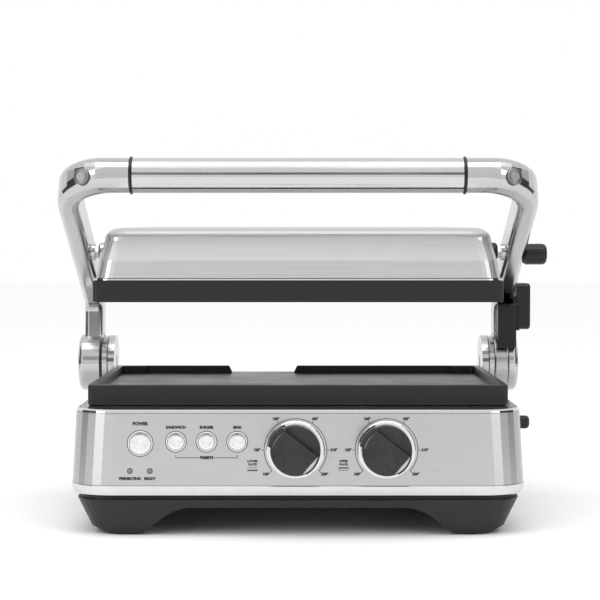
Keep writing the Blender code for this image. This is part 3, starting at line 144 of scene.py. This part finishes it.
def brushed_steel(name, stretch, grey=0.60, roughness=0.30, bump=0.10):
    """Stainless sheet with its grain along the axis of smallest stretch."""
    finish, nodes, links, shader = start_finish(name, (grey, grey, grey), roughness, 1.0)
    grain = stretched_noise(nodes, links, stretch, 5.0)
    cloud = stretched_noise(nodes, links, (9, 9, 9), 2.0)
    light = (grey * 1.06, grey * 1.06, grey * 1.07)
    dark = (grey * 0.93, grey * 0.93, grey * 0.94)
    links.new(tint(nodes, links, grain.outputs["Fac"], dark, light), shader.inputs["Base Color"])
    mix = nodes.new("ShaderNodeMath")
    mix.operation = "ADD"
    rough = spread(nodes, links, grain.outputs["Fac"], roughness - 0.05, roughness + 0.05)
    links.new(rough, mix.inputs[0])
    links.new(spread(nodes, links, cloud.outputs["Fac"], -0.02, 0.03), mix.inputs[1])
    links.new(mix.outputs["Value"], shader.inputs["Roughness"])
    emboss(nodes, links, shader, grain.outputs["Fac"], bump, 0.00004)
    return finish


BAND_STEEL = brushed_steel("band_steel", (14, 14, 1900), grey=0.50, roughness=0.33)
COVER_STEEL = brushed_steel("cover_steel", (10, 1500, 1500), grey=0.58, roughness=0.36)
HANDLE_STEEL = brushed_steel("handle_steel", (8, 2200, 2200), grey=0.58, roughness=0.18, bump=0.05)
PLATED_STEEL = brushed_steel("plated_steel", (200, 900, 900), grey=0.50, roughness=0.28, bump=0.06)
print("brushed finishes:", BAND_STEEL.name, COVER_STEEL.name, HANDLE_STEEL.name)

# %% [markdown]
# The arms and hubs are castings, ground and then satin polished, so they have no clear
# grain, only a soft unevenness. The deck, trim ring and bezels are brighter and smoother.

# %% Polished metal


def polished_metal(name, grey, roughness, waviness):
    """Polished casting or trim: a faint cloud in gloss and a slow wave in its surface."""
    finish, nodes, links, shader = start_finish(name, (grey, grey, grey), roughness, 1.0)
    cloud = stretched_noise(nodes, links, (60, 60, 60), 4.0)
    fine = stretched_noise(nodes, links, (1400, 1400, 1400), 2.0)
    tone = tint(nodes, links, cloud.outputs["Fac"], (grey * 0.95,) * 3, (grey * 1.03,) * 3)
    links.new(tone, shader.inputs["Base Color"])
    rough = spread(nodes, links, cloud.outputs["Fac"], roughness * 0.8, roughness * 1.25)
    links.new(rough, shader.inputs["Roughness"])
    emboss(nodes, links, shader, fine.outputs["Fac"], waviness, 0.00002)
    return finish


CAST_ALUMINIUM = polished_metal("polished_aluminium", 0.52, 0.16, 0.08)
CAP_METAL = polished_metal("cap_metal", 0.20, 0.32, 0.06)
BRIGHT_TRIM = polished_metal("bright_trim", 0.68, 0.14, 0.04)
print("polished finishes:", CAST_ALUMINIUM.name, BRIGHT_TRIM.name)

# %% [markdown]
# The plates wear a dark non-stick coating, sprayed and baked, with a fine orange-peel
# texture and tiny paler specks. The base, dials and levers are moulded plastic with a
# spark-eroded grain, and the pads are plain rubber.

# %% Coating, plastic and rubber


def grained_dark(name, dark, light, roughness, size, bump):
    """A finish with fine grain: coating, moulded plastic, rubber, board or sheath."""
    finish, nodes, links, shader = start_finish(name, dark, roughness)
    grain = stretched_noise(nodes, links, (size, size, size), 3.0)
    cloud = stretched_noise(nodes, links, (25, 25, 25), 2.0)
    tone = tint(nodes, links, grain.outputs["Fac"], dark, light, 0.35, 0.75)
    links.new(tone, shader.inputs["Base Color"])
    rough = spread(nodes, links, cloud.outputs["Fac"], roughness - 0.04, roughness + 0.05)
    links.new(rough, shader.inputs["Roughness"])
    emboss(nodes, links, shader, grain.outputs["Fac"], bump, 0.00008)
    shader.inputs["Specular IOR Level"].default_value = 0.32
    return finish


PLATE_COATING = grained_dark(
    "plate_coating", (0.010, 0.010, 0.011), (0.018, 0.018, 0.019), 0.32, 1600, 0.20
)
BASE_PLASTIC = grained_dark(
    "base_plastic", (0.014, 0.014, 0.016), (0.021, 0.021, 0.023), 0.44, 1300, 0.30
)
LEVER_PLASTIC = grained_dark(
    "lever_plastic", (0.010, 0.010, 0.011), (0.016, 0.016, 0.017), 0.38, 1500, 0.22
)
PAD_RUBBER = grained_dark(
    "pad_rubber", (0.018, 0.018, 0.018), (0.026, 0.026, 0.026), 0.80, 700, 0.40
)
BOARD_GREEN = grained_dark(
    "board_green", (0.02, 0.12, 0.05), (0.03, 0.18, 0.08), 0.45, 400, 0.10
)
SHEATH = grained_dark(
    "heater_sheath", (0.16, 0.155, 0.15), (0.24, 0.23, 0.22), 0.45, 900, 0.20
)
SHEATH.node_tree.nodes["Principled BSDF"].inputs["Metallic"].default_value = 0.8
print("dark finishes:", PLATE_COATING.name, BASE_PLASTIC.name, LEVER_PLASTIC.name, PAD_RUBBER.name)

# %% [markdown]
# Round each button runs a ring of milky plastic that glows a little, and each lamp is a
# small smoked lens. A weak emission stands for the light behind the plastic.

# %% Light rings and lamps


def lit_plastic(name, colour, glow, roughness):
    """Milky plastic with a little light of its own."""
    finish, nodes, links, shader = start_finish(name, colour, roughness)
    cloud = stretched_noise(nodes, links, (300, 300, 300), 2.0)
    pale = tuple(min(1, c * 1.05) for c in colour)
    links.new(tint(nodes, links, cloud.outputs["Fac"], colour, pale), shader.inputs["Base Color"])
    shader.inputs["Emission Color"].default_value = (*colour, 1)
    shader.inputs["Emission Strength"].default_value = glow
    shader.inputs["Coat Weight"].default_value = 0.4
    return finish


RING_GLOW = lit_plastic("light_ring", (0.60, 0.61, 0.62), 0.10, 0.30)
LAMP_LENS = lit_plastic("lamp_lens", (0.16, 0.16, 0.17), 0.0, 0.18)
print("lit finishes:", RING_GLOW.name, LAMP_LENS.name)

# %% [markdown]
# A dial's dark face and a button's bright one are turned on a lathe, so their scratches run
# in circles. Such a face throws a bright fan to each side of its middle. An anisotropic
# highlight with its tangent set round the Y axis gives that fan without modelling a scratch.

# %% Turned faces for dials and buttons


def turned_metal(name, colour, roughness, metallic):
    """Metal with circular scratches about the piece's Y axis."""
    finish, nodes, links, shader = start_finish(name, colour, roughness, metallic)
    shader.inputs["Anisotropic"].default_value = 0.80
    around = nodes.new("ShaderNodeTangent")
    around.direction_type = "RADIAL"
    around.axis = "Y"
    links.new(around.outputs["Tangent"], shader.inputs["Tangent"])
    cloud = stretched_noise(nodes, links, (420, 420, 420), 4.0)
    pale = tuple(c * 1.25 for c in colour)
    links.new(tint(nodes, links, cloud.outputs["Fac"], colour, pale), shader.inputs["Base Color"])
    emboss(nodes, links, shader, cloud.outputs["Fac"], 0.06, 0.00003)
    return finish


DIAL_DARK = turned_metal("dial_dark", (0.046, 0.047, 0.049), 0.30, 1.0)
BUTTON_STEEL = turned_metal("button_steel", (0.68, 0.68, 0.69), 0.26, 1.0)
print("turned finishes:", DIAL_DARK.name, BUTTON_STEEL.name)

# %% [markdown]
# The frame's objects carry plain colours. Each gets its real finish here, by its whole name
# or by a word in it. The last rule has an empty word, so it catches every node that is left,
# such as the levers, and gives it their plastic.

# %% Give every frame node its finish
FINISH_OF = {
    "body_band": BAND_STEEL,
    "cover_shell": COVER_STEEL,
    "handle_tube": HANDLE_STEEL,
    "base_tub": BASE_PLASTIC,
    "drip_tray": BASE_PLASTIC,
    "cord_gland": BASE_PLASTIC,
    "lower_plate": PLATE_COATING,
    "upper_plate": PLATE_COATING,
    "lower_element": SHEATH,
    "upper_element": SHEATH,
    "control_board": BOARD_GREEN,
    "power_board": BOARD_GREEN,
    "preheat_lamp": LAMP_LENS,
    "ready_lamp": LAMP_LENS,
    "pivot_boss_left": PLATED_STEEL,
}
FINISH_BY_WORD = (
    ("foot_pad", PAD_RUBBER),
    ("light_ring", RING_GLOW),
    ("_bezel", BRIGHT_TRIM),
    ("lower_trim", BRIGHT_TRIM),
    ("top_deck", BRIGHT_TRIM),
    ("cover_lip", BRIGHT_TRIM),
    ("arm_", CAST_ALUMINIUM),
    ("cam_ring", CAST_ALUMINIUM),
    ("hinge_bracket", CAST_ALUMINIUM),
    ("corner_cap", CAP_METAL),
    ("heat_shield", PLATED_STEEL),
    ("grease_chute", PLATED_STEEL),
    ("step_cam", PLATED_STEEL),
    ("_pin", PLATED_STEEL),
    ("release_button", LEVER_PLASTIC),
    ("_button", BUTTON_STEEL),
    ("_dial", DIAL_DARK),
    ("", LEVER_PLASTIC),
)
given = {}
for node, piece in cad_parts.items():
    finish = FINISH_OF.get(node)
    if finish is None:
        finish = next(chosen for word, chosen in FINISH_BY_WORD if word in node)
    for index in range(len(piece.material_slots)):
        piece.material_slots[index].material = finish
    given[finish.name] = given.get(finish.name, 0) + 1
for name, count in sorted(given.items()):
    print(f"{name}: {count} nodes")

# %% [markdown]
# The frame's triangles come without soft shading. Marking faces smooth and keeping real
# edges sharp changes no vertex, and lets the steel reflect in one sweep.

# %% Smooth shading on the frame
FRAME_SHARP_ANGLE = math.radians(33)
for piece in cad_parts.values():
    if piece.type == "MESH":
        piece.data.shade_smooth()
        piece.data.set_sharp_from_angle(angle=FRAME_SHARP_ANGLE)
print("smooth shading on", len(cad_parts), "nodes")

# %% [markdown]
# A new piece is a mesh that rides on one of the frame's bodies. `add_piece` makes it from a
# bmesh, and keeps the normals facing out.

# %% A helper that adds a piece
PIECE_SHARP_ANGLE = math.radians(35)


def add_piece(name, shape, finish, body, smooth=True):
    """Turn a bmesh into an object that rides on a body."""
    bmesh.ops.recalc_face_normals(shape, faces=shape.faces)
    mesh = bpy.data.meshes.new(name)
    shape.to_mesh(mesh)
    shape.free()
    piece = bpy.data.objects.new(name, mesh)
    bpy.context.scene.collection.objects.link(piece)
    piece.data.materials.append(finish)
    if smooth:
        mesh.shade_smooth()
        mesh.set_sharp_from_angle(angle=PIECE_SHARP_ANGLE)
    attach(piece, body)
    return piece


# %% [markdown]
# The labels are ink on steel: letters 0.03 mm thick that lie on the band. Each word starts
# as a text curve, is turned into a mesh, and all of them join into one piece, because real
# ink is one print run.

# %% Ink and lettering
INK_DEPTH = 0.00003
CAPITAL_SHARE = 0.70
INK, ink_nodes, ink_links, ink_shader = start_finish("panel_ink", (0.012, 0.012, 0.013), 0.6)
ink_cloud = stretched_noise(ink_nodes, ink_links, (900, 900, 900)).outputs["Fac"]
ink_tone = tint(ink_nodes, ink_links, ink_cloud, (0.010, 0.010, 0.011), (0.018, 0.018, 0.019))
ink_links.new(ink_tone, ink_shader.inputs["Base Color"])


def lettering(words, x, z, height, align="CENTER", weight=0.0):
    """A bmesh of words whose capitals are this high, standing on the band's front."""
    curve = bpy.data.curves.new("lettering", "FONT")
    curve.body = words
    curve.size = height / CAPITAL_SHARE
    curve.align_x = align
    curve.align_y = "CENTER"
    curve.extrude = INK_DEPTH / 2
    curve.offset = weight
    curve.resolution_u = 3
    holder = bpy.data.objects.new("lettering", curve)
    bpy.context.scene.collection.objects.link(holder)
    bpy.context.view_layer.update()
    graph = bpy.context.evaluated_depsgraph_get()
    mesh = bpy.data.meshes.new_from_object(holder.evaluated_get(graph))
    shape = bmesh.new()
    shape.from_mesh(mesh)
    bpy.data.objects.remove(holder)
    bpy.data.meshes.remove(mesh)
    bpy.data.curves.remove(curve)
    bmesh.ops.remove_doubles(shape, verts=shape.verts, dist=1e-7)
    turn = Matrix.Rotation(math.radians(90), 4, "X")
    shape.transform(Matrix.Translation((x, BAND_FRONT - INK_DEPTH / 2, z)) @ turn)
    return shape


def ink_bar(x, z, width, height, angle=0.0):
    """A thin printed bar about its middle, turned in the face of the band."""
    shape = bmesh.new()
    bmesh.ops.create_cube(shape, size=1)
    size = Matrix.Diagonal((width, INK_DEPTH, height, 1))
    turn = Matrix.Rotation(angle, 4, "Y")
    shape.transform(Matrix.Translation((x, BAND_FRONT - INK_DEPTH / 2, z)) @ turn @ size)
    return shape


def gather(shapes):
    """Join several bmeshes into one."""
    whole = bmesh.new()
    for shape in shapes:
        mesh = bpy.data.meshes.new("part_of_whole")
        shape.to_mesh(mesh)
        shape.free()
        whole.from_mesh(mesh)
        bpy.data.meshes.remove(mesh)
    return whole


# %% [markdown]
# Labels over and under the buttons and lamps say what each one does. The preset names
# are joined from below by a bracket line with its own word in the middle.

# %% Labels for buttons and lamps
LABEL_HEIGHT = 0.0025
SMALL_LABEL = 0.0021
POWER_WEIGHT = 0.00026
LETTER_WEIGHT = 0.00025
POWER_RISE = 0.0160
PRESET_RISE = 0.0117
PRESET_DROP = 0.0131
LAMP_DROP = 0.0063
HOOK = 0.0024
LINE = 0.00055
PRESET_WORDS = ("SANDWICH", "BURGER", "SEAR")
power = middle_of("power_button")
presets = [middle_of(f"preset_{index}_button") for index in (1, 2, 3)]
lamps = [middle_of("preheat_lamp"), middle_of("ready_lamp")]
prints = [
    lettering("POWER", power.x, power.z + POWER_RISE, LABEL_HEIGHT, weight=POWER_WEIGHT)
]
for word, preset in zip(PRESET_WORDS, presets):
    z = preset.z + PRESET_RISE
    prints.append(lettering(word, preset.x, z, SMALL_LABEL, weight=LETTER_WEIGHT))
row_z = presets[0].z - PRESET_DROP
prints.append(lettering("PRESETS", presets[1].x, row_z, SMALL_LABEL, weight=LETTER_WEIGHT))
word_half = 0.0062
for side in (-1, 1):
    outer = presets[1].x + side * (presets[1].x - presets[0].x)
    inner = presets[1].x + side * word_half
    prints.append(ink_bar((outer + inner) / 2, row_z, abs(outer - inner), LINE))
    prints.append(ink_bar(outer, row_z + HOOK / 2, LINE, HOOK))
for word, lamp in zip(("PREHEATING", "READY"), lamps):
    z = lamp.z - LAMP_DROP
    prints.append(lettering(word, lamp.x, z, SMALL_LABEL, weight=LETTER_WEIGHT))
print("labels made:", len(prints))

# %% [markdown]
# Round each dial a fine arc leaves a gap at the foot, with a tick and a temperature at
# each of six places. The angle runs clockwise from the top, as on a clock.

# %% Dial scales
SCALE_RADIUS = 0.0258
SCALE_MARKS = (
    (-131.5, "100°"), (-90, "120°"), (-32, "160°"),
    (32, "180°"), (90, "210°"), (131.5, "230°"),
)
TICK = 0.0019
FIGURE_GAP = 0.0022
FIGURE_SHIFT = 0.0014
SIDE_ANGLE = 60


def on_dial(centre, degrees, radius):
    """A point on a dial's face, by its clock angle."""
    angle = math.radians(degrees)
    return centre.x + radius * math.sin(angle), centre.z + radius * math.cos(angle)


def printed_band(centre, outer, inner, clock_angles, closed):
    """A flat band round a centre on the panel, open or as a closed ring."""
    shape = bmesh.new()
    rows = []
    for degrees in clock_angles:
        row = []
        for radius, depth in ((outer, 0), (inner, 0), (inner, 1), (outer, 1)):
            x, z = on_dial(centre, degrees, radius)
            row.append(shape.verts.new((x, BAND_FRONT - INK_DEPTH * depth, z)))
        rows.append(row)
    following = rows[1:] + rows[:1] if closed else rows[1:]
    for here, there in zip(rows, following):
        for i in range(4):
            j = (i + 1) % 4
            shape.faces.new((here[i], here[j], there[j], there[i]))
    if not closed:
        shape.faces.new(rows[0])
        shape.faces.new(rows[-1])
    return shape


ARC_STEPS = 80
first_mark, last_mark = SCALE_MARKS[0][0], SCALE_MARKS[-1][0]
scale_angles = [
    first_mark + (last_mark - first_mark) * step / ARC_STEPS for step in range(ARC_STEPS + 1)
]
for node in ("lower_bezel", "upper_bezel"):
    centre = middle_of(node)
    line_inner = SCALE_RADIUS - LINE
    prints.append(printed_band(centre, SCALE_RADIUS, line_inner, scale_angles, closed=False))
    for degrees, words in SCALE_MARKS:
        x, z = on_dial(centre, degrees, SCALE_RADIUS + TICK / 2)
        prints.append(ink_bar(x, z, LINE, TICK, math.radians(degrees)))
        reach = SCALE_RADIUS + TICK + FIGURE_GAP
        x, z = on_dial(centre, degrees, reach)
        align, shift = "CENTER", 0
        if degrees < -SIDE_ANGLE:
            align, shift = "RIGHT", FIGURE_SHIFT
        elif degrees > SIDE_ANGLE:
            align, shift = "LEFT", -FIGURE_SHIFT
        prints.append(lettering(words, x + shift, z, SMALL_LABEL, align, LETTER_WEIGHT))
print("prints with scales:", len(prints))

# %% [markdown]
# Left of each dial's foot a small sign says which plate it heats: two short words over a
# pair of bars, the heavy bar above or below for the upper or lower plate.

# %% Plate signs
SIGN_LEFT = 0.0350
SIGN_DROP = 0.0113
SIGN_LETTER = 0.0017
SIGN_WEIGHT = 0.00018
SIGN_BAR = 0.0085
THICK_BAR, THIN_BAR = 0.0010, 0.0004
for node, words, heavy in (("lower_bezel", "LOWER", -1), ("upper_bezel", "UPPER", 1)):
    centre = middle_of(node)
    x = centre.x - SIGN_LEFT
    z = centre.z - SIGN_DROP
    for word, above in ((words, 0.0021), ("PLATE", -0.0006)):
        prints.append(lettering(word, x, z + above, SIGN_LETTER, weight=SIGN_WEIGHT))
    bars = (THICK_BAR, THIN_BAR) if heavy > 0 else (THIN_BAR, THICK_BAR)
    for bar, below in zip(bars, (0.0034, 0.0054)):
        prints.append(ink_bar(x, z - below, SIGN_BAR, bar))
panel_print = add_piece("panel_print", gather(prints), INK, "base", smooth=False)
print("panel print:", len(panel_print.data.polygons), "faces")

# %% [markdown]
# Each dial's grip bar ends in a proud lobe at one side and in a chamfer at the other, beside the
# pointer slot. The lobe overhangs the bright bezel so that a fingertip finds it. The chamfer is
# drawn flat, as a crescent of pale steel on the dark face. It is a painted highlight that stands
# in for the light its slope reflects. Both ride on the dial, and turn with it.

# %% Lobe and painted chamfer highlight on each dial
POINTER = 128.0
LOBE_RADIUS = 0.0229
LOBE_ROOT_RADIUS = 0.0185
LOBE_HALF_ANGLE = 25
LOBE_ROOT_HALF_ANGLE = 30
LOBE_STEP = 0.0012
DIAL_DEPTH = 0.0090
CHAMFER_RADIUS = 0.0181
CHAMFER_WIDTH = 0.0026
CHAMFER_START = POINTER - 28
CHAMFER_END = POINTER + 34
CHAMFER_PROUD = 0.00012
CHAMFER_BACK = 0.0002
FAN_STEPS = 14


def prism_on_dial(points, front, back):
    """A flat outline of (x, z) points, extruded from one Y to another."""
    shape = bmesh.new()
    near = [shape.verts.new((x, front, z)) for x, z in points]
    far = [shape.verts.new((x, back, z)) for x, z in points]
    shape.faces.new(near)
    shape.faces.new(far[::-1])
    for i in range(len(points)):
        j = (i + 1) % len(points)
        shape.faces.new((near[j], near[i], far[i], far[j]))
    return shape


def fan(centre, first, last, radius):
    """Points on an arc round a dial, between two clock angles."""
    span = [first + (last - first) * step / FAN_STEPS for step in range(FAN_STEPS + 1)]
    return [on_dial(centre, degrees, radius) for degrees in span]


# Painted highlight: this pale steel lies flat on the dark dial face, in place of the light that
# the sloped chamfer reflects.
CHAMFER_HIGHLIGHT_FINISH = polished_metal("chamfer_steel", 0.50, 0.30, 0.05)
for node in ("lower_dial", "upper_dial"):
    centre = middle_of(node)
    face = front_of(node)
    back = POINTER + 180
    tip = fan(centre, back - LOBE_HALF_ANGLE, back + LOBE_HALF_ANGLE, LOBE_RADIUS)
    root_from, root_to = back + LOBE_ROOT_HALF_ANGLE, back - LOBE_ROOT_HALF_ANGLE
    root = fan(centre, root_from, root_to, LOBE_ROOT_RADIUS)
    lobe = prism_on_dial(tip + root, face + LOBE_STEP, face + DIAL_DEPTH)
    add_piece(f"{node}_lobe", lobe, DIAL_DARK, node)
    outer = fan(centre, CHAMFER_START, CHAMFER_END, CHAMFER_RADIUS)
    inner = []
    for step in range(FAN_STEPS + 1):
        share = step / FAN_STEPS
        degrees = CHAMFER_END - (CHAMFER_END - CHAMFER_START) * share
        bow = CHAMFER_WIDTH * math.sin(math.pi * share)
        inner.append(on_dial(centre, degrees, CHAMFER_RADIUS - bow))
    # The flat pale crescent is the painted chamfer highlight, not a sloped cut.
    crescent = prism_on_dial(outer + inner[1:-1], face - CHAMFER_PROUD, face + CHAMFER_BACK)
    add_piece(f"{node}_chamfer", crescent, CHAMFER_HIGHLIGHT_FINISH, node, smooth=False)
print("lobes and chamfers on 2 dials")

# %% [markdown]
# A fine dark line runs round each button, where its cap drops into the panel; the darkness is the
# shade inside that gap. The gap could be cut into the band, but from any usual distance only its
# shade shows. A flat dark ring 0.7 mm wide paints that shade on, and leaves the band whole.

# %% Painted gap shade round the buttons
GROOVE_WIDTH = 0.0007
GROOVE_OVERHANG = 0.0006
RING_STEPS = 64
# Painted shade: this dark finish stands in for the shade inside the gap round each button's cap.
GAP_SHADE_FINISH = grained_dark(
    "groove_dark", (0.015, 0.015, 0.016), (0.022, 0.022, 0.023), 0.6, 1500, 0.1
)
for node in ("power", "preset_1", "preset_2", "preset_3"):
    low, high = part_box(f"{node}_light_ring")
    centre = middle_of(f"{node}_light_ring")
    outer = (high[0] - low[0]) / 2 + GROOVE_OVERHANG
    ring_angles = [360 * step / RING_STEPS for step in range(RING_STEPS)]
    shape = printed_band(centre, outer, outer - GROOVE_WIDTH, ring_angles, closed=True)
    add_piece(f"{node}_outline", shape, GAP_SHADE_FINISH, "base", smooth=False)
print("outlines round 4 buttons")

# %% [markdown]
# The floor is plain and pale, and a plain white surround lights the press evenly from all
# round, so nothing in the room draws the eye.

# %% Floor and surround
FLOOR_SIZE = 14
bpy.ops.mesh.primitive_plane_add(size=FLOOR_SIZE, location=(0, 3, 0))
floor = bpy.context.object
floor.name = "studio_floor"
floor_finish = start_finish("pale_floor", (0.96, 0.96, 0.96), 0.7)[0]
floor.data.materials.append(floor_finish)

surround = bpy.data.worlds.new("surround")
bpy.context.scene.world = surround
surround.use_nodes = True
sky = surround.node_tree.nodes["Background"]
sky.inputs["Color"].default_value = (1, 1, 1, 1)
sky.inputs["Strength"].default_value = 1.00
print("floor", FLOOR_SIZE, "m wide, under a plain white surround")

# %% [markdown]
# The rest of the light comes from a wide soft panel above and in front, and a strip at each
# side. An area light is a glowing rectangle, and a wide one gives soft shadows and a broad,
# calm highlight on the cover. Each is turned to face the middle of the press.

# %% Soft panels
PANEL_TARGET = (0, 0, 0.15)


def soft_panel(name, place, target, size, power):
    """A rectangular soft light that faces a point."""
    light = bpy.data.lights.new(name, "AREA")
    light.shape = "RECTANGLE"
    light.size, light.size_y = size
    light.energy = power
    holder = bpy.data.objects.new(name, light)
    holder.location = place
    aim = Vector(target) - Vector(place)
    holder.rotation_euler = aim.to_track_quat("-Z", "Y").to_euler()
    bpy.context.scene.collection.objects.link(holder)


soft_panel("overhead_panel", (0, -0.4, 1.7), PANEL_TARGET, (2.2, 1.0), 14)
soft_panel("left_strip", (-1.6, -1.2, 0.7), PANEL_TARGET, (0.5, 1.4), 10)
soft_panel("right_strip", (1.6, -1.2, 0.7), PANEL_TARGET, (0.5, 1.4), 6)

# %% [markdown]
# Polished metal shows what it reflects, and in an all-white room it looks like paper. So
# three flat black boards stand at the sides and in front, and draw the dark lines along the
# handle and arms. They are hidden from the camera, because a side view would otherwise look
# straight at one, and the lamps cast no shadow of them. Each still keeps the surround's light
# off the strip of floor it stands on, which a side view shows as a thin dark line.

# %% Dark cards
CARD = start_finish("dark_card", (0.03, 0.03, 0.03), 0.9)[0]


def dark_card(name, low, high):
    """A black studio card that only reflections see, as a thin box between two corners."""
    shape = bmesh.new()
    bmesh.ops.create_cube(shape, size=1)
    low, high = Vector(low), Vector(high)
    size = Matrix.Diagonal((*(high - low), 1))
    shape.transform(Matrix.Translation((low + high) / 2) @ size)
    mesh = bpy.data.meshes.new(name)
    shape.to_mesh(mesh)
    shape.free()
    mesh.materials.append(CARD)
    card = bpy.data.objects.new(name, mesh)
    bpy.context.scene.collection.objects.link(card)
    card.visible_camera = False
    card.visible_shadow = False
    print(name, "is", tuple(round(v, 2) for v in high - low), "m")


dark_card("left_card", (-1.30, -0.9, 0.0), (-1.28, 0.3, 1.1))
dark_card("right_card", (1.28, -0.9, 0.0), (1.30, 0.3, 1.1))
dark_card("front_card", (-1.2, -2.32, 0.55), (1.2, -2.30, 0.95))

# %% [markdown]
# The camera stands in front, a little above the open plates, with a long lens so that the
# sides stay nearly parallel.

# %% Camera
LENS_MM = 106.5
SENSOR_MM = 36
EYE = Vector((-0.0062, -1.5929, 0.2360))
TILT = math.radians(1.71)
camera = bpy.data.cameras.new("camera")
camera.lens = LENS_MM
camera.sensor_width = SENSOR_MM
view_point = bpy.data.objects.new("camera", camera)
view_point.location = EYE
view_point.rotation_euler = (math.radians(90) - TILT, 0, 0)
bpy.context.scene.collection.objects.link(view_point)
bpy.context.scene.camera = view_point
bpy.context.scene.view_settings.view_transform = "Standard"
print("camera at", tuple(round(v, 4) for v in EYE), "lens", LENS_MM)
